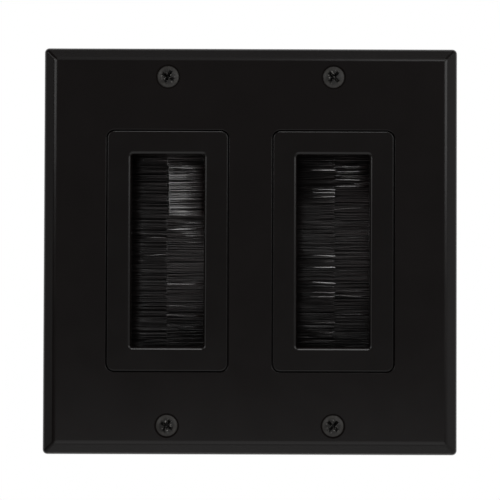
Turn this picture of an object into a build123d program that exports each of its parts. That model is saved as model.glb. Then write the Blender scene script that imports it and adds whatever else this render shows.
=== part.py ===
from build123d import *
import os
from math import hypot, radians, tan

# Brush wall plate: a two-gang cover plate with a brush insert in each opening, so that cables
# pass through the wall between two rows of bristles. Millimetres, +Z up, +X right. The front
# faces -Y, and the origin is the plate's centre on the wall, so what is in the wall has y > 0.

# Wall plate
gang_pitch = 46.04
single_plate_width = 69.4
opening_width = 34.0
opening_height = 67.2
opening_corner_radius = 2.3
opening_edge_round = 0.25
box_screw_beyond_opening = 8.07
plate_screw_beyond_box_screw = 6.75
plate_edge_beyond_screw = 8.28
plate_depth = 5.6
face_thickness = 2.2
rim_wall = 2.0
bevel_width = 3.4
bevel_depth = 3.0
bevel_round = 2.0
shoulder_round = 2.2
plate_corner_radius = 1.3
lip_width = 1.2
lip_clearance = 0.3

# Plate screws: oval heads that sit a little below the rim of their countersinks. The shank is
# the core of the thread, and holes leave room for the thread's height on it.
plate_screw_core_radius = 1.38
plate_thread_height = 0.37
plate_screw_length = 12.7
plate_screw_head_radius = 3.0
plate_screw_crown = 0.95
plate_screw_tip = 0.6
plate_recess_arm = 2.25
plate_recess_width = 0.95
plate_recess_depth = 2.0
plate_screw_turn = {"left": 62.0, "right": 47.0}
countersink_radius = 3.4
countersink_angle = 82.0
screw_hole_clearance = 0.25
head_seat_clearance = 0.05
thread_clearance = 0.05
screw_boss_wall = 1.0

# Insert frame: bezel in front of the strap, housing behind it
insert_gap = 0.3
insert_proud = 0.2
bezel_thickness = 1.8
bezel_edge_round = 0.3
end_margin = 6.65
window_round = 1.1
window_corner_radius = 0.5
window_overlap = 0.5
skirt_wall = 1.4
housing_wall = 1.35
housing_step = 0.5
housing_corner_radius = 1.5
brush_setback = 8.6
rib_thickness = 1.0
rib_pitch = 13.5
rib_count = 4
corner_boss_radius = 2.1
strap_thickness = 1.8
strap_gap = 3.0
strap_corner_radius = 2.5
flange_margin = 2.6
ear_width = 28.0
ear_beyond_screw = 4.2
slot_radius = 2.0
slot_length = 7.0

# Strip brushes: filaments folded round a wire and gripped by a channel
channel_depth = 4.2
channel_height = 4.8
channel_sheet = 0.5
channel_bend_radius = 0.4
strip_clearance = 0.1
wire_radius = 0.6
wire_clearance = 0.02
fold_clearance = 0.05
bristle_flare = 0.35
tip_gap = 0.3
tuft_pitch = 1.1
tuft_gap = 0.25
tuft_root = 1.5

# Retainer and its screws
retainer_thickness = 1.8
retainer_edge_round = 0.6
retainer_screw_radius = 1.0
retainer_screw_length = 6.0
retainer_screw_tip = 0.9
retainer_hole_clearance = 0.2
retainer_head_radius = 1.9
retainer_head_height = 1.3
retainer_head_round = 0.5
retainer_recess_arm = 1.1
retainer_recess_width = 0.55
retainer_recess_depth = 0.8
pilot_spare_depth = 0.8

# Places across the plate
gang_centres = {"left": -gang_pitch / 2, "right": gang_pitch / 2}
strip_hands = {"left": -1, "right": 1}
box_screw_z = opening_height / 2 + box_screw_beyond_opening
plate_screw_z = box_screw_z + plate_screw_beyond_box_screw
plate_width = single_plate_width + gang_pitch
plate_screw_radius = plate_screw_core_radius + plate_thread_height
plate_height = 2 * (plate_screw_z + plate_edge_beyond_screw)

# Depths, from the face to the back of the retainer
face_y = -plate_depth
strap_front_y = -strap_thickness
bezel_y = face_y - insert_proud
bezel_back_y = bezel_y + bezel_thickness
seat_y = bezel_y + brush_setback
rear_y = seat_y + channel_height
retainer_rear_y = rear_y + retainer_thickness

# Outlines of one insert, from the opening inwards
bezel_width = opening_width - 2 * insert_gap
bezel_height = opening_height - 2 * insert_gap
bezel_corner_radius = opening_corner_radius - insert_gap
housing_width = bezel_width - 2 * housing_step
housing_height = bezel_height - 2 * housing_step
pocket_width = housing_width - 2 * housing_wall
pocket_height = housing_height - 2 * housing_wall
web_outer = pocket_width / 2 - strip_clearance
mouth = web_outer - channel_depth
window_width = 2 * (mouth - window_overlap)
window_height = bezel_height - 2 * end_margin
skirt_width = window_width + 2 * skirt_wall
skirt_height = window_height + 2 * skirt_wall
corner_boss_x = (skirt_width + pocket_width) / 4
corner_boss_z = (skirt_height + pocket_height) / 4
strip_half = corner_boss_z - corner_boss_radius - strip_clearance
strap_width = gang_pitch - strap_gap
strap_length = 2 * (plate_screw_z + ear_beyond_screw)
flange_height = bezel_height + 2 * flange_margin

# Inside a strip brush
web_inner = web_outer - channel_sheet
front_inner = seat_y + channel_sheet
rear_inner = rear_y - channel_sheet
middle_y = (seat_y + rear_y) / 2
fold_radius = (rear_inner - front_inner) / 2
fold_centre = web_inner - fold_clearance - fold_radius
tip = tip_gap / 2
tuft_length = mouth - tuft_root - tip
gap_count = round(2 * strip_half / tuft_pitch) - 1


def facing_front(y, x=0.0, z=0.0):
    # Plane seen from the front: local x runs right, local y up, and extrusions come forward
    return Plane(origin=(x, y, z), x_dir=(1, 0, 0), z_dir=(0, -1, 0))


def facing_back(y, x=0.0, z=0.0):
    # Plane seen from behind: extrusions go further into the wall
    return Plane(origin=(x, y, z), x_dir=(-1, 0, 0), z_dir=(0, 1, 0))


def cross_recess(arm, width, depth):
    # Two slots that cross, open at z = 0, each tapering to a short narrow floor
    with BuildPart() as recess:
        for turn in (0, 90):
            with BuildSketch(Plane.XY):
                Rectangle(2 * arm, width, rotation=turn)
            with BuildSketch(Plane.XY.offset(-depth)):
                Rectangle(width, width / 2, rotation=turn)
            loft()
    return recess.part


def oval_head_screw():
    # Axis along z with the head up, and z = 0 on the plate's face
    slope = tan(radians(countersink_angle / 2))
    rim = head_seat_clearance - (countersink_radius - plate_screw_head_radius) / slope
    neck = rim - (plate_screw_head_radius - plate_screw_core_radius) / slope
    crown = rim + plate_screw_crown
    end = -plate_screw_length
    with BuildPart() as screw:
        with BuildSketch(Plane.XZ):
            with BuildLine():
                Polyline(
                    (0, crown),
                    (0, end),
                    (plate_screw_core_radius - plate_screw_tip, end),
                    (plate_screw_core_radius, end + plate_screw_tip),
                    (plate_screw_core_radius, neck),
                    (plate_screw_head_radius, rim),
                )
                TangentArc((0, crown), (plate_screw_head_radius, rim), tangent=(1, 0))
            make_face()
        revolve(axis=Axis.Z)
        with Locations((0, 0, crown)):
            add(cross_recess(plate_recess_arm, plate_recess_width, plate_recess_depth), mode=Mode.SUBTRACT)
    return screw.part


def pan_head_screw():
    # Axis along z with the head up, and z = 0 under the head
    end = -retainer_screw_length
    with BuildPart() as screw:
        with BuildSketch(Plane.XY):
            Circle(retainer_head_radius)
        extrude(amount=retainer_head_height)
        fillet(screw.faces().sort_by(Axis.Z)[-1].edges(), retainer_head_round)
        with BuildSketch(Plane.XZ):
            with BuildLine():
                Polyline(
                    (0, 0),
                    (0, end),
                    (retainer_screw_radius - retainer_screw_tip, end),
                    (retainer_screw_radius, end + 2 * retainer_screw_tip),
                    (retainer_screw_radius, 0),
                    close=True,
                )
            make_face()
        revolve(axis=Axis.Z)
        with Locations((0, 0, retainer_head_height)):
            add(
                cross_recess(retainer_recess_arm, retainer_recess_width, retainer_recess_depth),
                mode=Mode.SUBTRACT,
            )
    return screw.part


def finish(piece, label):
    piece.part.label = label
    export_step(piece.part, f"parts/{label}.step")


os.makedirs("parts", exist_ok=True)

# Wall plate: bevelled shell, with a lip round each opening and a boss behind each screw
side_height = plate_depth - bevel_depth
bevel_run = bevel_width / bevel_depth
bevel_wall = rim_wall * hypot(bevel_width, bevel_depth) / bevel_depth
shoulder_height = side_height - (bevel_wall - rim_wall) / bevel_run
hollow_height = plate_depth - face_thickness
hollow_inset = bevel_wall + (hollow_height - side_height) * bevel_run
screw_hole_radius = plate_screw_radius + screw_hole_clearance
with BuildPart() as wall_plate:
    with BuildSketch(facing_front(0)):
        Rectangle(plate_width, plate_height)
    extrude(amount=plate_depth)
    face = wall_plate.faces().sort_by(Axis.Y)[0]
    chamfer(face.edges(), length=bevel_width, length2=bevel_depth, reference=face)
    fillet(wall_plate.faces().sort_by(Axis.Y)[0].edges(), bevel_round)
    fillet(wall_plate.edges().group_by(Axis.Y)[-3], shoulder_round)
    level_edges = wall_plate.edges().filter_by(Axis.X) + wall_plate.edges().filter_by(Axis.Z)
    fillet(wall_plate.edges() - level_edges, plate_corner_radius)
    with BuildSketch(facing_front(0)):
        Rectangle(plate_width - 2 * rim_wall, plate_height - 2 * rim_wall)
    extrude(amount=hollow_height, mode=Mode.SUBTRACT)
    floor = wall_plate.faces(Select.LAST).sort_by(Axis.Y)[0]
    chamfer(
        floor.edges(),
        length=hollow_inset - rim_wall,
        length2=hollow_height - shoulder_height,
        reference=floor,
    )
    with BuildSketch(facing_front(strap_front_y - lip_clearance)):
        with GridLocations(gang_pitch, 0, 2, 1):
            RectangleRounded(
                opening_width + 2 * lip_width,
                opening_height + 2 * lip_width,
                opening_corner_radius + lip_width,
            )
    extrude(amount=hollow_height - strap_thickness - lip_clearance)
    with BuildSketch(facing_front(strap_front_y)):
        with GridLocations(gang_pitch, 2 * plate_screw_z, 2, 2):
            Circle(screw_hole_radius + screw_boss_wall)
    extrude(amount=hollow_height - strap_thickness)
    with BuildSketch(facing_front(0)):
        with GridLocations(gang_pitch, 0, 2, 1):
            RectangleRounded(opening_width, opening_height, opening_corner_radius)
    extrude(amount=plate_depth, mode=Mode.SUBTRACT)
    front_rims = wall_plate.faces().sort_by(Axis.Y)[0].inner_wires()
    fillet(front_rims.edges(), opening_edge_round)
    with Locations(facing_front(face_y)):
        with GridLocations(gang_pitch, 2 * plate_screw_z, 2, 2):
            CounterSinkHole(screw_hole_radius, countersink_radius, plate_depth, countersink_angle)
finish(wall_plate, "wall_plate")

with BuildPart() as plate_screws:
    for gang, x in gang_centres.items():
        for z in (-plate_screw_z, plate_screw_z):
            with Locations(facing_front(face_y, x, z)):
                add(oval_head_screw(), rotation=(0, 0, plate_screw_turn[gang]))
finish(plate_screws, "plate_screws")

# The two inserts are alike, one in each opening
pilot_depth = retainer_screw_length - retainer_thickness + pilot_spare_depth
rib_length = (pocket_width - skirt_width) / 2
for gang, x in gang_centres.items():
    with BuildPart() as insert_frame:
        with BuildSketch(facing_front(0, x)):
            RectangleRounded(strap_width, flange_height, strap_corner_radius)
            RectangleRounded(ear_width, strap_length, strap_corner_radius)
        extrude(amount=strap_thickness)
        with BuildSketch(facing_front(0, x)):
            RectangleRounded(bezel_width, bezel_height, bezel_corner_radius)
        extrude(amount=-bezel_y)
        fillet(insert_frame.faces().sort_by(Axis.Y)[0].edges(), bezel_edge_round)
        with BuildSketch(facing_front(rear_y, x)):
            RectangleRounded(housing_width, housing_height, housing_corner_radius)
        extrude(amount=rear_y)
        with BuildSketch(facing_front(rear_y, x)):
            Rectangle(pocket_width, pocket_height)
        extrude(amount=rear_y - bezel_back_y, mode=Mode.SUBTRACT)
        with BuildSketch(facing_front(seat_y, x)):
            Rectangle(skirt_width, skirt_height)
            with GridLocations(skirt_width + rib_length, rib_pitch, 2, rib_count):
                Rectangle(rib_length, rib_thickness)
        extrude(amount=seat_y - bezel_back_y)
        with BuildSketch(facing_front(rear_y, x)):
            with GridLocations(2 * corner_boss_x, 2 * corner_boss_z, 2, 2):
                Circle(corner_boss_radius)
        extrude(amount=rear_y - bezel_back_y)
        with BuildSketch(facing_front(rear_y, x)):
            with GridLocations(2 * corner_boss_x, 2 * corner_boss_z, 2, 2):
                Circle(retainer_screw_radius + thread_clearance)
        extrude(amount=pilot_depth, mode=Mode.SUBTRACT)
        with BuildSketch(facing_front(seat_y, x)):
            RectangleRounded(window_width, window_height, window_corner_radius)
        extrude(amount=seat_y - bezel_y, mode=Mode.SUBTRACT)
        window_rim = insert_frame.faces().sort_by(Axis.Y)[0].inner_wires()
        fillet(window_rim.edges(), window_round)
        with BuildSketch(facing_front(0, x)):
            with GridLocations(0, 2 * box_screw_z, 1, 2):
                SlotOverall(slot_length, 2 * slot_radius)
            with GridLocations(0, 2 * plate_screw_z, 1, 2):
                Circle(plate_screw_radius + thread_clearance)
        extrude(amount=strap_thickness, mode=Mode.SUBTRACT)
    finish(insert_frame, f"{gang}_insert_frame")

    # Retainer: rear frame that closes the housing over the strip brushes
    with BuildPart() as insert_retainer:
        with BuildSketch(facing_front(retainer_rear_y, x)):
            RectangleRounded(housing_width, housing_height, housing_corner_radius)
            RectangleRounded(window_width, window_height, window_corner_radius, mode=Mode.SUBTRACT)
            with GridLocations(2 * corner_boss_x, 2 * corner_boss_z, 2, 2):
                Circle(retainer_screw_radius + retainer_hole_clearance, mode=Mode.SUBTRACT)
        extrude(amount=retainer_thickness)
        back = insert_retainer.faces().sort_by(Axis.Y)[-1]
        window_edges = back.inner_wires().sort_by(SortBy.LENGTH)[-1].edges()
        fillet(back.outer_wire().edges() + window_edges, retainer_edge_round)
    finish(insert_retainer, f"{gang}_insert_retainer")

    with BuildPart() as retainer_screws:
        for corner_x in (x - corner_boss_x, x + corner_boss_x):
            for corner_z in (-corner_boss_z, corner_boss_z):
                with Locations(facing_back(retainer_rear_y, corner_x, corner_z)):
                    add(pan_head_screw())
    finish(retainer_screws, f"{gang}_insert_retainer_screws")

    # Strip brushes, one at each side of the window, in mirrored sketch planes whose local x runs
    # from the insert's middle line outwards and whose local y runs into the wall
    for hand, outward in strip_hands.items():
        strip_plane = Plane(origin=(x, 0, 0), x_dir=(outward, 0, 0), z_dir=(0, 0, outward))

        with BuildPart() as channel:
            with BuildSketch(strip_plane):
                with Locations((web_outer - channel_depth / 2, middle_y)):
                    outer = Rectangle(channel_depth, channel_height)
                fillet(outer.vertices().group_by(Axis.X)[-1], channel_bend_radius + channel_sheet)
                with BuildSketch(mode=Mode.SUBTRACT):
                    with Locations((web_inner - channel_depth / 2, middle_y)):
                        inner = Rectangle(channel_depth, rear_inner - front_inner)
                    fillet(inner.vertices().group_by(Axis.X)[-1], channel_bend_radius)
            extrude(amount=strip_half, both=True)
        finish(channel, f"{gang}_insert_channel_{hand}")

        with BuildPart() as wire:
            with BuildSketch(strip_plane):
                with Locations((fold_centre, middle_y)):
                    Circle(wire_radius)
            extrude(amount=strip_half, both=True)
        finish(wire, f"{gang}_insert_wire_{hand}")

        with BuildPart() as bristles:
            with BuildSketch(strip_plane):
                with BuildLine():
                    Polyline(
                        (fold_centre, front_inner),
                        (mouth, front_inner),
                        (tip, front_inner - bristle_flare),
                        (tip, rear_inner + bristle_flare),
                        (mouth, rear_inner),
                        (fold_centre, rear_inner),
                    )
                    ThreePointArc(
                        (fold_centre, rear_inner),
                        (fold_centre + fold_radius, middle_y),
                        (fold_centre, front_inner),
                    )
                make_face()
                with Locations((fold_centre, middle_y)):
                    Circle(wire_radius + wire_clearance, mode=Mode.SUBTRACT)
            extrude(amount=strip_half, both=True)
            with BuildSketch(facing_front(rear_y, x)):
                with Locations((outward * (tip + tuft_length / 2), 0)):
                    with GridLocations(0, tuft_pitch, 1, gap_count):
                        Rectangle(tuft_length, tuft_gap)
            extrude(amount=channel_height, mode=Mode.SUBTRACT)
        finish(bristles, f"{gang}_insert_bristles_{hand}")
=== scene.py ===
import math

import bpy
import numpy as np
from mathutils import Matrix, Vector


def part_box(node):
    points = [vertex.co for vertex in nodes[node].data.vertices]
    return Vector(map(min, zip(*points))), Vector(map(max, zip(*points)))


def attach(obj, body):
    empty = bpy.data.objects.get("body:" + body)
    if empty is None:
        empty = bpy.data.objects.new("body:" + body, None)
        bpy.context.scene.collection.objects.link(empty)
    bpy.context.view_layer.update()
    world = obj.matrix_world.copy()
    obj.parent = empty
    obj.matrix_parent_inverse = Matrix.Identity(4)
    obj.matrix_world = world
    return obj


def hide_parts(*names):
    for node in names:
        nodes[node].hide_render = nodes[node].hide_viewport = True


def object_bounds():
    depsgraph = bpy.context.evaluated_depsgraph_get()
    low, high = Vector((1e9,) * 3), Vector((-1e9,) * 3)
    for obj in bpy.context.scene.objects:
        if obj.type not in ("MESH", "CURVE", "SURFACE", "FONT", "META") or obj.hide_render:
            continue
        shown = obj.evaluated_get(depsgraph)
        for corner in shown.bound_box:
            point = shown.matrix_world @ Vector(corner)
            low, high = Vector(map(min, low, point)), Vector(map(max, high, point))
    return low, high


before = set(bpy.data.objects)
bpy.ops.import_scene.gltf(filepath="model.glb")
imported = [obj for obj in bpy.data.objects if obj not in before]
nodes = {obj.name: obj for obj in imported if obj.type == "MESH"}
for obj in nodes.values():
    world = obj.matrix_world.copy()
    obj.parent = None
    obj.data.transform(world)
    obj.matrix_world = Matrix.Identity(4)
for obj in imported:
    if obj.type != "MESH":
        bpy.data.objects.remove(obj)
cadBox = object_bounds()
mm = 0.001  # scene units are metres
print("frame loaded:", len(nodes), "CAD nodes")


def linearColour(hexCode):
    # sRGB hex to the linear RGBA that shader sockets take
    parts = [int(hexCode[i:i + 2], 16) / 255 for i in (1, 3, 5)]
    linear = [p / 12.92 if p <= 0.04045 else ((p + 0.055) / 1.055) ** 2.4 for p in parts]
    return (*linear, 1.0)


def addNode(tree, kind, settings=None, inputs=None):
    # One node: plain settings first, then each input gets a value or a link from a socket
    node = tree.nodes.new(kind)
    for name, value in (settings or {}).items():
        setattr(node, name, value)
    for socket, value in (inputs or {}).items():
        if isinstance(value, bpy.types.NodeSocket):
            tree.links.new(value, node.inputs[socket])
        else:
            node.inputs[socket].default_value = value
    return node


def newMaterial(name):
    # Empty material with an output node, ready for its shader
    material = bpy.data.materials.new(name)
    material.use_nodes = True
    tree = material.node_tree
    tree.nodes.clear()
    return material, tree, addNode(tree, "ShaderNodeOutputMaterial")


def patternScale(size):
    # Texture scale whose features are about this many millimetres across
    return 1 / (size * mm)


noiseSpan = {"From Min": 0.3, "From Max": 0.7}   # where most of a noise texture's values lie
screwSpacing = {"across": 46.04, "up": 96.84}    # mm between the plate screws, which is standard


def awayFromScrews(tree, place):
    # Distance from the axis of the nearest plate screw, in metres
    quarter = addNode(tree, "ShaderNodeVectorMath", {"operation": "ABSOLUTE"}, {0: place})
    offset = addNode(tree, "ShaderNodeVectorMath", {"operation": "SUBTRACT"}, {
        0: quarter.outputs["Vector"],
        1: (screwSpacing["across"] / 2 * mm, 0.0, screwSpacing["up"] / 2 * mm),
    })
    square = addNode(tree, "ShaderNodeVectorMath", {"operation": "MULTIPLY"}, {
        0: offset.outputs["Vector"], 1: (1.0, 0.0, 1.0),   # depth doesn't count
    })
    away = addNode(tree, "ShaderNodeVectorMath", {"operation": "LENGTH"}, {0: square.outputs["Vector"]})
    return away.outputs["Value"]


# Moulded ABS: black pigment right through, and a fine spark-eroded mould skin. The eye gets a deep,
# slightly warm satin black whose highlights break up, with faint cloudy patches in the gloss. The
# mould's pins are polished, so the countersinks are glossy and show as black rings.
plateAbs = {
    "name": "satin black moulded ABS, plate",
    "colour": "#140F0E",
    "cloudColour": "#181211",
    "countersink": (3.4, 3.5),   # mm from a screw's axis, where the polish fades into the skin
    "pinRoughness": 0.05,
    "ior": 1.54,
    "roughness": (0.20, 0.25),
    "grain": 0.45,        # mm, the real skin is 0.05 mm and would not show
    "grainHeight": 0.0016,
    "cloud": 14.0,        # mm, patches of more and less gloss
}
insertAbs = {
    "name": "satin black moulded ABS, insert",
    "colour": "#100C0B",
    "cloudColour": "#130F0E",
    "ior": 1.54,
    "roughness": (0.20, 0.24),
    "grain": 0.4,
    "grainHeight": 0.0014,
    "cloud": 9.0,
}
retainerAbs = {
    "name": "matt black moulded ABS, retainer",
    "colour": "#121111",
    "cloudColour": "#161515",
    "ior": 1.54,
    "roughness": (0.44, 0.54),
    "grain": 0.5,
    "grainHeight": 0.003,
    "cloud": 7.0,
}


def mouldedAbs(s):
    material, tree, output = newMaterial(s["name"])
    place = addNode(tree, "ShaderNodeTexCoord").outputs["Object"]
    cloud = addNode(tree, "ShaderNodeTexNoise", None, {
        "Vector": place, "Scale": patternScale(s["cloud"]), "Detail": 3.0, "Roughness": 0.55,
    })
    grain = addNode(tree, "ShaderNodeTexNoise", None, {
        "Vector": place, "Scale": patternScale(s["grain"]), "Detail": 2.0, "Roughness": 0.5,
    })
    tint = addNode(tree, "ShaderNodeMix", {"data_type": "RGBA"}, {
        0: cloud.outputs["Fac"], 6: linearColour(s["colour"]), 7: linearColour(s["cloudColour"]),
    })
    gloss = addNode(tree, "ShaderNodeMapRange", None, {
        "Value": cloud.outputs["Fac"], **noiseSpan,
        "To Min": s["roughness"][0], "To Max": s["roughness"][1],
    })
    roughness = gloss.outputs["Result"]
    if "countersink" in s:
        skinned = addNode(tree, "ShaderNodeMapRange", None, {
            "Value": awayFromScrews(tree, place),
            "From Min": s["countersink"][0] * mm, "From Max": s["countersink"][1] * mm,
        })
        roughness = addNode(tree, "ShaderNodeMix", {"data_type": "FLOAT"}, {
            0: skinned.outputs["Result"], 2: s["pinRoughness"], 3: roughness,
        }).outputs[0]
    skin = addNode(tree, "ShaderNodeBump", None, {
        "Strength": 1.0, "Distance": s["grainHeight"] * mm, "Height": grain.outputs["Fac"],
    })
    shader = addNode(tree, "ShaderNodeBsdfPrincipled", None, {
        "Base Color": tint.outputs[2], "Roughness": roughness,
        "IOR": s["ior"], "Normal": skin.outputs["Normal"],
    })
    tree.links.new(shader.outputs["BSDF"], output.inputs["Surface"])
    return material


# Steel screws under a baked black paint: a thin lumpy coat, greyer and duller than the plate, so
# the heads stand out from it. It is worn lighter on its edges, which are lightened further as a painted
# highlight. Painted shade darkens the cross recess, the gaps round each head and the middle of the
# head, so the recess looks wider, and light spots in that middle are painted glints.
screwPaint = {
    "name": "black stoved paint on steel",
    "colour": "#353331",
    # paint worn lighter on edges, lightened further as a painted highlight
    "wearAndGlintColour": "#5A5754",
    "wearAndGlintEdge": (0.52, 0.60),     # pointiness where wear and its painted highlight start, and where they are complete
    # painted shade in the recess, in the gaps round the head and in the head's middle
    "paintedShadeColour": "#080707",
    "recess": 0.9,                # mm, how near the walls of a hollow have to be for its painted shade
    "recessOpen": (0.45, 0.8),    # openness where the painted shade is full, and where it is gone
    "headMiddle": (1.1, 2.2),         # mm from the axis to the end of the head's middle, which gets painted shade and painted glints, and to the rim that gets neither
    "paintedMiddleShade": 0.7,           # share of the painted shade in the head's middle
    "paintedGlint": 0.55,                # mm across a painted glint
    "paintedGlintCut": (0.6, 0.66),      # noise values between which a painted glint's edge lies
    # colour of the painted glints
    "paintedGlintColour": "#B4B1AD",
    "ior": 1.5,
    "roughness": (0.42, 0.58),
    "speck": 0.7,                 # mm, orange peel of the paint
    "speckHeight": 0.02,
}


def stovedPaint(s):
    material, tree, output = newMaterial(s["name"])
    place = addNode(tree, "ShaderNodeTexCoord").outputs["Object"]
    speck = addNode(tree, "ShaderNodeTexNoise", None, {
        "Vector": place, "Scale": patternScale(s["speck"]), "Detail": 3.0, "Roughness": 0.6,
    })
    # Worn paint on the edges, lightened further as a painted highlight
    edge = addNode(tree, "ShaderNodeMapRange", None, {
        "Value": addNode(tree, "ShaderNodeNewGeometry").outputs["Pointiness"],
        "From Min": s["wearAndGlintEdge"][0], "From Max": s["wearAndGlintEdge"][1],
    })
    tint = addNode(tree, "ShaderNodeMix", {"data_type": "RGBA"}, {
        0: edge.outputs["Result"], 6: linearColour(s["colour"]), 7: linearColour(s["wearAndGlintColour"]),
    })
    # Painted shade wherever walls lie near: in the cross recess and in the gap round the head
    around = addNode(tree, "ShaderNodeAmbientOcclusion", None, {"Distance": s["recess"] * mm})
    unshaded = addNode(tree, "ShaderNodeMapRange", None, {
        "Value": around.outputs["AO"],
        "From Min": s["recessOpen"][0], "From Max": s["recessOpen"][1],
    })
    # Painted shade in the middle of the head, so that the recess looks wider
    headMiddle = addNode(tree, "ShaderNodeMapRange", None, {
        "Value": awayFromScrews(tree, place), "To Min": 1.0, "To Max": 0.0,
        "From Min": s["headMiddle"][0] * mm, "From Max": s["headMiddle"][1] * mm,
    })
    shade = addNode(tree, "ShaderNodeMath", {"operation": "MULTIPLY"}, {
        0: headMiddle.outputs["Result"], 1: s["paintedMiddleShade"],
    })
    middleShaded = addNode(tree, "ShaderNodeMix", {"data_type": "RGBA"}, {
        0: shade.outputs[0], 6: tint.outputs[2], 7: linearColour(s["paintedShadeColour"]),
    })
    recessShaded = addNode(tree, "ShaderNodeMix", {"data_type": "RGBA"}, {
        0: unshaded.outputs["Result"], 6: linearColour(s["paintedShadeColour"]), 7: middleShaded.outputs[2],
    })
    # Painted highlights: light spots in the head's middle stand for glints
    spots = addNode(tree, "ShaderNodeTexNoise", None, {
        "Vector": place, "Scale": patternScale(s["paintedGlint"]), "Detail": 1.0,
    })
    glintMask = addNode(tree, "ShaderNodeMapRange", None, {
        "Value": spots.outputs["Fac"], "From Min": s["paintedGlintCut"][0], "From Max": s["paintedGlintCut"][1],
    })
    paintedGlint = addNode(tree, "ShaderNodeMath", {"operation": "MULTIPLY"}, {
        0: headMiddle.outputs["Result"], 1: glintMask.outputs["Result"],
    })
    glinted = addNode(tree, "ShaderNodeMix", {"data_type": "RGBA"}, {
        0: paintedGlint.outputs[0], 6: recessShaded.outputs[2], 7: linearColour(s["paintedGlintColour"]),
    })
    gloss = addNode(tree, "ShaderNodeMapRange", None, {
        "Value": speck.outputs["Fac"], **noiseSpan,
        "To Min": s["roughness"][0], "To Max": s["roughness"][1],
    })
    peel = addNode(tree, "ShaderNodeBump", None, {
        "Strength": 1.0, "Distance": s["speckHeight"] * mm, "Height": speck.outputs["Fac"],
    })
    shader = addNode(tree, "ShaderNodeBsdfPrincipled", None, {
        "Base Color": glinted.outputs[2], "Roughness": gloss.outputs["Result"],
        "IOR": s["ior"], "Normal": peel.outputs["Normal"],
    })
    tree.links.new(shader.outputs["BSDF"], output.inputs["Surface"])
    return material


# Galvanised sheet: zinc crystals show as angular patches of lighter and duller grey
channelZinc = {
    "name": "galvanised sheet steel",
    "colour": "#A9ACAE",
    "dullColour": "#84888B",
    "roughness": (0.32, 0.52),
    "crystal": 1.6,       # mm across a spangle
    "scratch": 0.12,      # mm between rolling lines
    "scratchHeight": 0.002,
}
# Drawn wire: fine lines from the die run along it
wireSteel = {
    "name": "drawn steel wire",
    "colour": "#9A9B9C",
    "dullColour": "#7B7C7E",
    "roughness": (0.25, 0.40),
    "crystal": 2.5,
    "scratch": 0.08,
    "scratchHeight": 0.002,
}
# Zinc plate on the small screws: bright, with a slight yellow and blue drift in the passivation
screwZinc = {
    "name": "zinc-plated steel",
    "colour": "#B9BABB",
    "dullColour": "#A6A79E",
    "roughness": (0.22, 0.34),
    "crystal": 0.9,
    "scratch": 0.2,
    "scratchHeight": 0.0015,
}


def zincOrSteel(s):
    material, tree, output = newMaterial(s["name"])
    place = addNode(tree, "ShaderNodeTexCoord").outputs["Object"]
    crystal = addNode(tree, "ShaderNodeTexVoronoi", None, {
        "Vector": place, "Scale": patternScale(s["crystal"]),
    })
    patch = addNode(tree, "ShaderNodeSeparateColor", None, {"Color": crystal.outputs["Color"]})
    # Lines run along Z, where the pattern is drawn out fifty times
    drawn = addNode(tree, "ShaderNodeMapping", None, {"Vector": place, "Scale": (1.0, 1.0, 1 / 50)})
    lines = addNode(tree, "ShaderNodeTexNoise", None, {
        "Vector": drawn.outputs["Vector"], "Scale": patternScale(s["scratch"]), "Detail": 2.0,
    })
    tint = addNode(tree, "ShaderNodeMix", {"data_type": "RGBA"}, {
        0: patch.outputs[0], 6: linearColour(s["colour"]), 7: linearColour(s["dullColour"]),
    })
    gloss = addNode(tree, "ShaderNodeMapRange", None, {
        "Value": patch.outputs[1], "To Min": s["roughness"][0], "To Max": s["roughness"][1],
    })
    rolled = addNode(tree, "ShaderNodeBump", None, {
        "Strength": 1.0, "Distance": s["scratchHeight"] * mm, "Height": lines.outputs["Fac"],
    })
    shader = addNode(tree, "ShaderNodeBsdfPrincipled", None, {
        "Base Color": tint.outputs[2], "Metallic": 1.0, "Roughness": gloss.outputs["Result"],
        "Normal": rolled.outputs["Normal"],
    })
    tree.links.new(shader.outputs["BSDF"], output.inputs["Surface"])
    return material


# Extruded nylon filament: round and smooth, so each one carries a thin bright line along its
# length. Filaments differ a little in blackness and gloss.
filamentNylon = {
    "name": "black extruded nylon filament",
    "colour": "#110B0B",
    "greyColour": "#1A1313",
    "ior": 1.53,
    "roughness": (0.26, 0.34),
}


def extrudedNylon(s):
    material, tree, output = newMaterial(s["name"])
    own = addNode(tree, "ShaderNodeNewGeometry").outputs["Random Per Island"]
    tint = addNode(tree, "ShaderNodeMix", {"data_type": "RGBA"}, {
        0: own, 6: linearColour(s["colour"]), 7: linearColour(s["greyColour"]),
    })
    gloss = addNode(tree, "ShaderNodeMapRange", None, {
        "Value": own, "To Min": s["roughness"][0], "To Max": s["roughness"][1],
    })
    shader = addNode(tree, "ShaderNodeBsdfPrincipled", None, {
        "Base Color": tint.outputs[2], "Roughness": gloss.outputs["Result"], "IOR": s["ior"],
    })
    tree.links.new(shader.outputs["BSDF"], output.inputs["Surface"])
    return material


def dress(nodeName, material):
    # New finish on a CAD node, whose mesh stays as it is
    slots = nodes[nodeName].data.materials
    slots.clear()
    slots.append(material)


screwFinish = stovedPaint(screwPaint)
insertFinish = mouldedAbs(insertAbs)
retainerFinish = mouldedAbs(retainerAbs)
channelFinish = zincOrSteel(channelZinc)
wireFinish = zincOrSteel(wireSteel)
smallScrewFinish = zincOrSteel(screwZinc)
nylonFinish = extrudedNylon(filamentNylon)
gangs = ("left", "right")
hands = {"left": -1, "right": 1}
dress("wall_plate", mouldedAbs(plateAbs))
dress("plate_screws", screwFinish)
for gang in gangs:
    dress(f"{gang}_insert_frame", insertFinish)
    dress(f"{gang}_insert_retainer", retainerFinish)
    dress(f"{gang}_insert_retainer_screws", smallScrewFinish)
    for hand in hands:
        dress(f"{gang}_insert_channel_{hand}", channelFinish)
        dress(f"{gang}_insert_wire_{hand}", wireFinish)
print("finishes on the CAD nodes")


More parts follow.
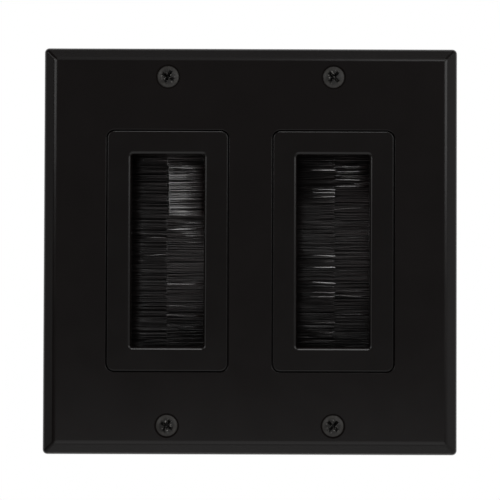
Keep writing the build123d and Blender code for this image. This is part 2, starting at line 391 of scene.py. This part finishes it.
# Filaments: each is folded round the wire, so it has a front leg and a rear leg. Millimetres.
filament = {
    "folds": 1440,        # folded filaments in a row
    "jitter": 0.3,        # how far an outer one strays from even spacing
    "diameter": 0.2,
    "sides": 4,
    "frontShares": (1.0, 0.955, 0.8, 0.55, 0.3, 0.14, 0.05, 0.0),   # points of a leg, tip to mouth
    "rearShares": (1.0, 0.6, 0.25, 0.0),
    "foldPoints": 3,
    "core": 0.4,          # share of the filaments, next to the wire, that lie packed and straight
    "loosening": 2,       # how fast the others get looser with their distance from it
    "tipCross": 0.7,      # how far the innermost tips reach past the middle line
    "tipRagged": 0.07,    # spread of the cut ends
    "clumpSpacing": (0.8, 2.4),
    "clumpSpread": (0.2, 1.8),   # a clump's own share of the row's pull
    "tipDrift": 1.3,      # power of the leg's share at which a tip's drift up or down grows
    "bow": 0.07,          # spread of the legs' bow
    "stray": 0.1,         # spread of one filament's tip about its clump
    "ownLean": 0.12,      # spread of one filament's lean about its clump
    "bandEdge": 0.12,     # raggedness of a combed band's ends
    "bandOrder": 0.25,    # share of the usual wander that is left in a combed filament
    "bandLock": 0.5,      # height of a lock of combed filaments that bend at one place
    "curlFrom": 0.955,    # share of the leg where a tip curls
    "wispWidth": 0.3,     # height of the row that a wisp is drawn from
    "wispDepth": 0.55,    # only filaments this far out from the wire join a wisp
    "wispDraw": 0.5,      # how far a wisp's tips stay spread
    "wispSlant": 0.3,     # spread of the wisps' tips up and down
}
# How each row lies: clumpPull draws tips together, lean is the mean and spread of how far the clumps
# push their tips deeper (+) or forward (-), and slant is their spread up and down. The row comes
# forward by its rise, an amount and a length from the channel's mouth, curl is how steeply its tips
# turn forward, and reach is how far they go past the CAD tips. A combed band is a stretch of the row
# where a share of the filaments slopes back as one, from its bend, a share of the leg. Wisps are
# heights of a few filaments that stand out of the row by a rise, bend and slope of their own.
rowLay = {
    ("left", "left"): {
        "seed": 11, "clumpPull": 0.05, "lean": (-0.05, 0.06), "slant": 0.04, "rise": (0.7, 2.8),
        "curl": 0.25, "reach": -0.45,
        "wispSlope": -0.3, "wispRise": (1.6, 2.0), "wispBend": (0.45, 0.6), "wisps": (4.2, -1.2, -24.6),
        "bands": [{
            "from": -27.0, "to": 27.0, "share": 1.0, "slope": (0.26, 0.02), "rise": (0.9, 2.8),
            "bend": (0.16, 0.42), "reach": -0.45,
        }],
    },
    ("left", "right"): {
        "seed": 23, "clumpPull": 0.12, "lean": (0.0, 0.12), "slant": 0.1, "rise": (0.0, 0.6),
        "curl": 0.0, "reach": 0.4,
        "wispSlope": 0.3, "wispRise": (3.0, 2.4), "wispBend": (0.25, 0.45),
        "wisps": (6.4, -9.0, -15.5, -18.2, -21.4, -22.7),
        "bands": [{
            "from": 22.4, "to": 24.2, "share": 0.7, "slope": (0.31, 0.08), "rise": (1.7, 0.8),
            "bend": (0.34, 0.54), "reach": 0.0,
        }, {
            "from": 10.2, "to": 22.4, "share": 1.0, "slope": (0.31, 0.02), "rise": (1.7, 0.8),
            "bend": (0.34, 0.54), "reach": 0.0,
        }, {
            "from": 2.5, "to": 10.2, "share": 0.12, "slope": (0.31, 0.05), "rise": (1.4, 0.8),
            "bend": (0.24, 0.46), "reach": 0.4,
        }],
    },
    ("right", "left"): {
        "seed": 37, "clumpPull": 0.12, "lean": (0.0, 0.12), "slant": 0.1, "rise": (0.7, 2.4),
        "curl": 0.14, "reach": 0.7,
        "wispSlope": -0.3, "wispRise": (1.6, 1.2), "wispBend": (0.0, 0.1),
        "wisps": (23.1, 17.6, 16.8, 15.4, -0.9, -4.3, -8.4, -11.2, -12.6, -20.0, -22.2, -24.8),
        "bands": [],
    },
    ("right", "right"): {
        "seed": 41, "clumpPull": 0.12, "lean": (0.0, 0.12), "slant": 0.1, "rise": (0.0, 0.6),
        "curl": 0.0, "reach": 0.0,
        "wispSlope": 0.3, "wispRise": (3.0, 1.4), "wispBend": (0.12, 0.3),
        "wisps": (24.1, 22.7, 21.6, 20.2, 18.6, 12.4, -10.8, -12.6, -17.5),
        "bands": [{
            "from": 18.0, "to": 25.0, "share": 0.1, "slope": (0.31, 0.05), "rise": (1.4, 0.8),
            "bend": (0.16, 0.42), "reach": 0.0,
        }],
    },
}


def clumpPlaces(rng, low, high, lay):
    # Clump middles along the row, with each clump's own pull, lean and slant
    middles = [low]
    while middles[-1] < high:
        middles.append(middles[-1] + rng.uniform(*filament["clumpSpacing"]))
    middles = np.array(middles)
    size = len(middles)
    pull = lay["clumpPull"] * rng.uniform(*filament["clumpSpread"], size)
    lean = rng.normal(lay["lean"][0], lay["lean"][1], size)
    slant = rng.normal(0, lay["slant"], size)
    return middles, pull, lean, slant


def bristleLeg(rng, lay, side, z, radius, spot):
    # Points of every front (side -1) or rear (side +1) leg, from tip to mouth, in row coordinates:
    # u runs from the insert's middle line outwards, y into the wall, z up
    share = (radius - spot["innerFold"]) / (spot["outerFold"] - spot["innerFold"])
    middles, pull, lean, slant = clumpPlaces(rng, z.min() - 1, z.max() + 1, lay)
    clump = np.abs(z[:, None] - middles[None, :]).argmin(1)
    loose = np.clip((share - filament["core"]) * filament["loosening"], 0, 1)   # outer ones wander
    ragged = rng.normal(0, filament["tipRagged"], len(z))
    tipY = spot["wireY"] + side * share * spot["halfFlare"]
    wander = pull[clump] * (middles[clump] - z) + slant[clump]
    tipZ = z + loose * (wander + rng.normal(0, filament["stray"], len(z)))
    bowY = loose * rng.normal(0, filament["bow"], len(z))
    bowZ = loose * rng.normal(0, filament["bow"], len(z))
    ownLean = lean[clump] + rng.normal(0, filament["ownLean"], len(z))
    rootY = spot["wireY"] + side * radius
    length = spot["mouth"] - spot["tip"]
    rise = np.full(len(z), lay["rise"][0])
    riseLength = np.full(len(z), lay["rise"][1])
    reach = np.full(len(z), lay["reach"])
    slope = np.zeros(len(z))
    bend = np.zeros(len(z))
    edge = z + rng.normal(0, filament["bandEdge"], len(z))
    front = side < 0
    for band in lay["bands"] if front else ():
        inside = (edge > band["from"]) & (edge < band["to"]) & (rng.random(len(z)) < band["share"])
        slope[inside] = rng.normal(*band["slope"], inside.sum())
        rise[inside], riseLength[inside] = band["rise"]
        reach[inside] = band["reach"]
        lock = ((z[inside] - z.min()) / filament["bandLock"]).astype(int)
        bend[inside] = rng.uniform(*band["bend"], lock.max() + 1)[lock]
        for spread in (ownLean, bowY, bowZ, ragged):
            spread[inside] *= filament["bandOrder"]
        tipZ[inside] = z[inside] + filament["bandOrder"] * (tipZ[inside] - z[inside])
    for height in lay["wisps"] if front else ():
        wisp = (np.abs(z - height) < filament["wispWidth"] / 2) & (share > filament["wispDepth"])
        slope[wisp] = lay["wispSlope"]
        rise[wisp], riseLength[wisp] = lay["wispRise"]
        bend[wisp] = rng.uniform(*lay["wispBend"], wisp.sum())
        tilt = rng.normal(0, filament["wispSlant"])
        tipZ[wisp] = height + tilt + filament["wispDraw"] * (tipZ[wisp] - height)
    tipU = spot["tip"] - reach - filament["tipCross"] * (1 - share) + ragged
    points = []
    for t in filament["frontShares" if front else "rearShares"]:
        swell = math.sin(math.pi * t)
        risen = np.minimum(1.0, t * spot["mouth"] / riseLength)
        points.append(np.stack([
            spot["mouth"] + (tipU - spot["mouth"]) * t,
            rootY + (tipY - rootY) * t + ownLean * t ** 2 + bowY * swell
            + slope * length * np.maximum(0, t - bend)
            - lay["curl"] * length * max(0, t - filament["curlFrom"])
            + side * share * rise * risen * (2 - risen),
            z + (tipZ - z) * t ** filament["tipDrift"] + bowZ * swell,
        ], axis=1))
    return points


def bristleRow(gang, hand):
    lay = rowLay[gang, hand]
    rng = np.random.default_rng(lay["seed"])
    node = f"{gang}_insert_bristles_{hand}"
    outward = hands[hand]
    low, high = (np.array(corner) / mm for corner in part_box(node))
    wireLow, wireHigh = (np.array(corner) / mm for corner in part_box(f"{gang}_insert_wire_{hand}"))
    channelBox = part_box(f"{gang}_insert_channel_{hand}")
    frameLow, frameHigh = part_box(f"{gang}_insert_frame")
    middleX = (frameLow.x + frameHigh.x) / 2 / mm
    half = filament["diameter"] / 2
    wireU = outward * ((wireLow[0] + wireHigh[0]) / 2 - middleX)
    spot = {
        "tip": min(outward * (low[0] - middleX), outward * (high[0] - middleX)),
        "mouth": min(outward * (corner.x / mm - middleX) for corner in channelBox),
        "wireY": (wireLow[1] + wireHigh[1]) / 2,
        "halfFlare": (high[1] - low[1]) / 2,
        "innerFold": (wireHigh[1] - wireLow[1]) / 2 + half,
        "outerFold": max(outward * (low[0] - middleX), outward * (high[0] - middleX)) - wireU - half,
    }

    # Even spacing with some jitter, then the two legs and the fold between them
    count = filament["folds"]
    inner = int(count * filament["core"])
    bottom = low[2] + half
    top = high[2] - half
    z = np.concatenate([np.linspace(bottom, top, inner), np.linspace(bottom, top, count - inner)])
    z[inner:] += rng.uniform(-filament["jitter"], filament["jitter"], count - inner)
    z = np.clip(z, bottom, top)
    share = np.concatenate([
        rng.uniform(0, filament["core"], inner), rng.uniform(filament["core"], 1, count - inner),
    ])
    radius = spot["innerFold"] + share * (spot["outerFold"] - spot["innerFold"])
    path = bristleLeg(rng, lay, -1, z, radius, spot)
    turns = np.linspace(-90, 90, filament["foldPoints"] + 2)[1:-1]
    for turn in np.radians(turns):
        path.append(np.stack([
            wireU + radius * math.cos(turn), spot["wireY"] + radius * math.sin(turn), z,
        ], axis=1))
    path += bristleLeg(rng, lay, 1, z, radius, spot)[::-1]
    path = np.stack(path, axis=1)
    path[:, :, 0] = middleX + outward * path[:, :, 0]

    # A ring of points round the path at each step
    tangent = np.gradient(path, axis=1)
    tangent /= np.linalg.norm(tangent, axis=2, keepdims=True)
    flat = np.cross(np.broadcast_to((0.0, 0.0, 1.0), tangent.shape), tangent)
    flat /= np.linalg.norm(flat, axis=2, keepdims=True)
    upright = np.cross(tangent, flat)
    sides = filament["sides"]
    angles = 2 * math.pi * (np.arange(sides) + 0.5) / sides
    rings = path[:, :, None, :] + half * (
        np.cos(angles)[:, None] * flat[:, :, None, :] + np.sin(angles)[:, None] * upright[:, :, None, :]
    )
    steps = path.shape[1]
    grid = np.arange(count * steps * sides).reshape(count, steps, sides)
    nextSide = np.roll(grid, -1, axis=2)
    walls = np.stack([
        grid[:, :-1], nextSide[:, :-1], nextSide[:, 1:], grid[:, 1:],
    ], axis=-1).reshape(-1, 4)
    # Cut ends have points of their own, so the walls' shading runs straight up to them
    ends = grid.size + np.arange(2 * count * sides).reshape(-1, sides)
    points = np.concatenate([
        rings.reshape(-1, 3), rings[:, 0, ::-1].reshape(-1, 3), rings[:, -1].reshape(-1, 3),
    ])
    mesh = bpy.data.meshes.new(node)
    mesh.from_pydata((points * mm).tolist(), [], np.concatenate([walls, ends]).tolist())
    smooth = np.zeros(len(mesh.polygons), bool)
    smooth[:len(walls)] = True
    mesh.polygons.foreach_set("use_smooth", smooth)
    mesh.materials.append(nylonFinish)
    piece = bpy.data.objects.new(f"{gang}_{hand}_filaments", mesh)
    bpy.context.scene.collection.objects.link(piece)
    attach(piece, "root")
    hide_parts(node)
    return piece


bristles = bpy.data.collections.new("bristles")
for gang in gangs:
    for hand in hands:
        bristles.objects.link(bristleRow(gang, hand))
print("bristle rows")


# Machine thread on each plate screw, round the core that the CAD node holds. Millimetres.
thread = {
    "headRadius": 3.0,    # from the side of the screws' box to the axis
    "core": 1.38,
    "crest": 1.75,
    "sunk": 0.03,         # how far its root lies inside the core
    "pitch": 0.794,
    "start": -3.0,        # below the head
    "end": 6.4,           # short of the tip's chamfer
    "steps": 28,          # in one turn
    "rootShare": 0.8,     # of the pitch that the thread covers at its root
    "crestShare": 0.12,   # and at its crest
    "runOut": 0.5,        # turns over which it fades at both ends
    "lastFade": 0.02,     # what is left of its height at the tip
}


def screwThread(name, x, z):
    turns = (thread["end"] - thread["start"]) / thread["pitch"]
    steps = int(turns * thread["steps"])
    points = []
    for i in range(steps + 1):
        turn = i / thread["steps"]
        angle = 2 * math.pi * turn
        fade = min(1.0, turn / thread["runOut"], (turns - turn) / thread["runOut"] + thread["lastFade"])
        y = thread["start"] + turn * thread["pitch"]
        root = thread["core"] - thread["sunk"]
        crest = thread["core"] + (thread["crest"] - thread["core"]) * fade
        for radius, shift in (
            (root, -thread["rootShare"] / 2), (crest, -thread["crestShare"] / 2),
            (crest, thread["crestShare"] / 2), (root, thread["rootShare"] / 2),
        ):
            points.append((
                (x + radius * math.cos(angle)) * mm,
                (y + shift * thread["pitch"]) * mm,
                (z + radius * math.sin(angle)) * mm,
            ))
    corners = 4   # of the thread's profile
    faces = []
    for i in range(steps):
        for k in range(corners):
            a = i * corners + k
            b = i * corners + (k + 1) % corners
            faces.append((a, b, b + corners, a + corners))
    faces.append((3, 2, 1, 0))
    last = steps * corners
    faces.append((last, last + 1, last + 2, last + 3))
    mesh = bpy.data.meshes.new(name)
    mesh.from_pydata(points, [], faces)
    mesh.materials.append(screwFinish)
    piece = bpy.data.objects.new(name, mesh)
    bpy.context.scene.collection.objects.link(piece)
    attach(piece, "root")


screwLow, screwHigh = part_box("plate_screws")
headRadius = thread["headRadius"]
columns = {"left": screwLow.x / mm + headRadius, "right": screwHigh.x / mm - headRadius}
levels = {"lower": screwLow.z / mm + headRadius, "upper": screwHigh.z / mm - headRadius}
for side, x in columns.items():
    for end, z in levels.items():
        screwThread(f"{side}_{end}_screw_thread", x, z)
print("screw threads")


# Camera at the photograph's viewing angle: nearly square-on, from slightly below
cameraSettings = {
    "distance": 500,      # mm
    "azimuth": 0.0,
    "elevation": -1.2,
    "roll": 0.19,
    "aim": (-0.09, 0.0, 0.41),
    "lens": 128.35,
    "sensor": 36.0,
}


def directionFrom(azimuth, elevation):
    # Unit vector from the plate towards a camera or lamp; azimuth 0 is in front, 90 to the right
    a = math.radians(azimuth)
    e = math.radians(elevation)
    return Vector((math.sin(a) * math.cos(e), -math.cos(a) * math.cos(e), math.sin(e)))


def placeCamera(s):
    back = directionFrom(s["azimuth"], s["elevation"])
    turn = back.to_track_quat("Z", "Y").to_matrix().to_4x4()
    data = bpy.data.cameras.new("photoCamera")
    data.lens = s["lens"]
    data.sensor_width = s["sensor"]
    data.clip_start = 0.01
    camera = bpy.data.objects.new("photoCamera", data)
    camera.matrix_world = (
        Matrix.Translation((Vector(s["aim"]) + s["distance"] * back) * mm)
        @ turn @ Matrix.Rotation(math.radians(s["roll"]), 4, "Z")
    )
    bpy.context.scene.collection.objects.link(camera)
    bpy.context.scene.camera = camera


placeCamera(cameraSettings)
print("camera placed")


# Soft boxes: angles in degrees, distance and size in metres, radiance 1 is a white wall
softBoxes = {
    "leftBox": {"at": (-55, 22), "distance": 0.55, "size": (0.35, 0.30), "radiance": 1.2},
    "rightBox": {"at": (50, 20), "distance": 0.55, "size": (0.35, 0.30), "radiance": 1.25},
    "highBox": {"at": (25, 48), "distance": 0.55, "size": (0.20, 0.20), "radiance": 1.0},
    "topBox": {"at": (0, 66), "distance": 0.55, "size": (0.34, 0.50), "radiance": 0.25},
    "rearStrip": {"at": (180, 75), "distance": 0.55, "size": (0.40, 0.15), "radiance": 0.3},
    "leftPanel": {"at": (-100, 5), "distance": 0.55, "size": (0.30, 0.40), "radiance": 0.15},
    "lowFrontBox": {"at": (0, -37), "distance": 0.42, "size": (0.50, 0.38), "radiance": 0.33},
}
# Narrow strips that are flagged off the plate, so that they give the filaments their bright lines
# and put no glare on the plastic
flaggedStrips = {
    "topStrip": {"at": (0, 60), "distance": 0.55, "size": (0.12, 0.30), "radiance": 3.5},
    "lowLeftStrip": {"at": (-45, -50), "distance": 0.48, "size": (0.14, 0.36), "radiance": 24.0},
    "lowRightStrip": {"at": (45, -50), "distance": 0.48, "size": (0.12, 0.30), "radiance": 1.0},
    "highLeftStrip": {"at": (-45, 50), "distance": 0.55, "size": (0.12, 0.30), "radiance": 3.0},
    "highRightStrip": {"at": (45, 50), "distance": 0.55, "size": (0.12, 0.30), "radiance": 1.0},
}
# Two more reach only the insert frames, and draw the light line along the edges of their windows
ledgeStrips = {
    "ledgeStrip": {"at": (0, 52), "distance": 0.55, "size": (0.20, 0.30), "radiance": 2.6},
    "edgeStrip": {"at": (-62, 0), "distance": 0.55, "size": (0.25, 0.30), "radiance": 0.4},
}


def softLamp(name, s):
    width, height = s["size"]
    data = bpy.data.lights.new(name, "AREA")
    data.shape = "RECTANGLE"
    data.size = width
    data.size_y = height
    data.energy = s["radiance"] * math.pi * width * height
    lamp = bpy.data.objects.new(name, data)
    back = directionFrom(*s["at"])
    lamp.location = back * s["distance"]
    lamp.rotation_mode = "QUATERNION"
    lamp.rotation_quaternion = back.to_track_quat("Z", "Y")
    lamp.visible_camera = False
    bpy.context.scene.collection.objects.link(lamp)
    return lamp


for name, s in softBoxes.items():
    softLamp(name, s)
for name, s in flaggedStrips.items():
    softLamp(name, s).light_linking.receiver_collection = bristles
inserts = bpy.data.collections.new("inserts")
for gang in gangs:
    inserts.objects.link(nodes[f"{gang}_insert_frame"])
for name, s in ledgeStrips.items():
    softLamp(name, s).light_linking.receiver_collection = inserts

# Room: the grey of each wall as the plate sees it. Towards a corner the walls blend. The camera sees
# plain white all round.
room = {
    "left": 0.02, "right": 0.26,
    "front": 0.1, "back": 0.7,
    "table": 0.28, "ceiling": 0.02,
    "seam": 0.001,            # half the width of the switch between opposite walls
    "backdrop": (0.25, 0.8),  # how far backwards a mirrored direction meets the white, and is all in it
}
oppositeWalls = {"X": ("left", "right"), "Y": ("front", "back"), "Z": ("table", "ceiling")}
world = bpy.data.worlds.new("studio")
bpy.context.scene.world = world
world.use_nodes = True
tree = world.node_tree
tree.nodes.clear()
towards = addNode(tree, "ShaderNodeTexCoord").outputs["Generated"]
parts = addNode(tree, "ShaderNodeSeparateXYZ", None, {"Vector": towards})
walls = addNode(tree, "ShaderNodeCombineXYZ")
for axis, (low, high) in oppositeWalls.items():
    wall = addNode(tree, "ShaderNodeMapRange", None, {
        "Value": parts.outputs[axis], "From Min": -room["seam"], "From Max": room["seam"],
        "To Min": room[low], "To Max": room[high],
    })
    tree.links.new(wall.outputs["Result"], walls.inputs[axis])
squares = addNode(tree, "ShaderNodeVectorMath", {"operation": "MULTIPLY"}, {0: towards, 1: towards})
level = addNode(tree, "ShaderNodeVectorMath", {"operation": "DOT_PRODUCT"}, {
    0: squares.outputs["Vector"], 1: walls.outputs["Vector"],
})
ray = addNode(tree, "ShaderNodeLightPath")
direct = addNode(tree, "ShaderNodeMath", {"operation": "MAXIMUM"}, {
    0: ray.outputs["Is Camera Ray"], 1: ray.outputs["Is Transmission Ray"],
})
behind = addNode(tree, "ShaderNodeMapRange", None, {
    "Value": parts.outputs["Y"], "From Min": room["backdrop"][0], "From Max": room["backdrop"][1],
})
mirrored = addNode(tree, "ShaderNodeMath", {"operation": "MULTIPLY"}, {
    0: ray.outputs["Is Glossy Ray"], 1: behind.outputs["Result"],
})
seen = addNode(tree, "ShaderNodeMath", {"operation": "MAXIMUM"}, {
    0: direct.outputs[0], 1: mirrored.outputs[0],
})
shown = addNode(tree, "ShaderNodeMix", {"data_type": "FLOAT"}, {
    0: seen.outputs[0], 2: level.outputs["Value"], 3: 1.0,
})
background = addNode(tree, "ShaderNodeBackground", None, {"Color": shown.outputs[0], "Strength": 1.0})
addNode(tree, "ShaderNodeOutputWorld", None, {"Surface": background.outputs["Background"]})

# Floor: a pale sheet below the plate that fades out into the white room
floor = {
    "drop": 300,          # mm under the plate
    "behind": 215,        # mm from the plate to its middle
    "radius": 240,        # mm
    "fade": (120, 235.2),  # mm from its middle
    "colour": "#E8E7E4",
    "roughness": 0.9,
    "rim": 96,            # points round its edge
    "lamp": {"at": (0, 80), "distance": 0.9, "size": (0.60, 0.60), "radiance": 9.0},
}


def paleFloor(s):
    material, tree, output = newMaterial("pale matt floor")
    place = addNode(tree, "ShaderNodeTexCoord").outputs["Object"]
    away = addNode(tree, "ShaderNodeVectorMath", {"operation": "LENGTH"}, {"Vector": place})
    fade = addNode(tree, "ShaderNodeMapRange", {"interpolation_type": "SMOOTHSTEP"}, {
        "Value": away.outputs["Value"], "From Min": s["fade"][0] * mm, "From Max": s["fade"][1] * mm,
    })
    paper = addNode(tree, "ShaderNodeBsdfPrincipled", None, {
        "Base Color": linearColour(s["colour"]), "Roughness": s["roughness"],
    })
    clear = addNode(tree, "ShaderNodeBsdfTransparent")
    mixed = addNode(tree, "ShaderNodeMixShader", None, {
        0: fade.outputs["Result"], 1: paper.outputs["BSDF"], 2: clear.outputs["BSDF"],
    })
    tree.links.new(mixed.outputs["Shader"], output.inputs["Surface"])
    points = []
    for i in range(s["rim"]):
        angle = 2 * math.pi * i / s["rim"]
        points.append((s["radius"] * mm * math.cos(angle), s["radius"] * mm * math.sin(angle), 0))
    mesh = bpy.data.meshes.new("floor")
    mesh.from_pydata(points, [], [tuple(range(s["rim"]))])
    mesh.materials.append(material)
    sheet = bpy.data.objects.new("floor", mesh)
    sheet.location = (0, s["behind"] * mm, cadBox[0].z - s["drop"] * mm)
    bpy.context.scene.collection.objects.link(sheet)
    # Its own lamp, flagged off the plate, keeps the floor pale and gives it the plate's shadow
    ground = bpy.data.collections.new("ground")
    ground.objects.link(sheet)
    softLamp("floorLamp", s["lamp"]).light_linking.receiver_collection = ground


paleFloor(floor)
bpy.context.scene.view_settings.view_transform = "Standard"
print("lights, room and floor")
